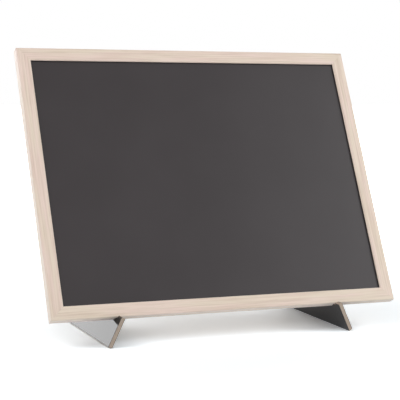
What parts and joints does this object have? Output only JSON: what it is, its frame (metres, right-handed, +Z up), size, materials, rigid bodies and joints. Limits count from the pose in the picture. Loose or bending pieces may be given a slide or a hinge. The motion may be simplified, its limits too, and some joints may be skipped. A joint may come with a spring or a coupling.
{
  "type": "chalkboard with stand",
  "caption": "Tabletop chalkboard: a black writing panel in a mitred pine frame that leans back on splayed slot-in plate feet.",
  "frame": {"origin": "on the floor under the middle of the whole object's bounding box", "axes": "+X across the board to the right of someone who faces it, -Y towards that person, +Z up"},
  "size_m": [0.432, 0.171, 0.3283],
  "materials": {
    "pine": "plain sanded pale pine, matt",
    "slate_paint": "matt black chalkboard coating on thin fibreboard",
    "black_laminate": "glossy black laminate on fibreboard, raw brown at its sawn edges",
    "nail_steel": "bare bent steel strip"
  },
  "bodies": {
    "board": {"top_rail": "pine", "bottom_rail": "pine", "left_rail": "pine", "right_rail": "pine", "writing_panel": "slate_paint", "top_left_nail": "nail_steel", "top_right_nail": "nail_steel", "bottom_left_nail": "nail_steel", "bottom_right_nail": "nail_steel"},
    "foot_left": {"left_foot": "black_laminate"},
    "foot_right": {"right_foot": "black_laminate"}
  },
  "joints": [
    {"name": "left_foot_pull", "type": "slide", "parent": "board", "child": "foot_left", "axis": [-0.3837, -0.4192, -0.8228], "range_m": [0, 0.04]},
    {"name": "right_foot_pull", "type": "slide", "parent": "board", "child": "foot_right", "axis": [0.3837, -0.4192, -0.8228], "range_m": [0, 0.04]}
  ]
}
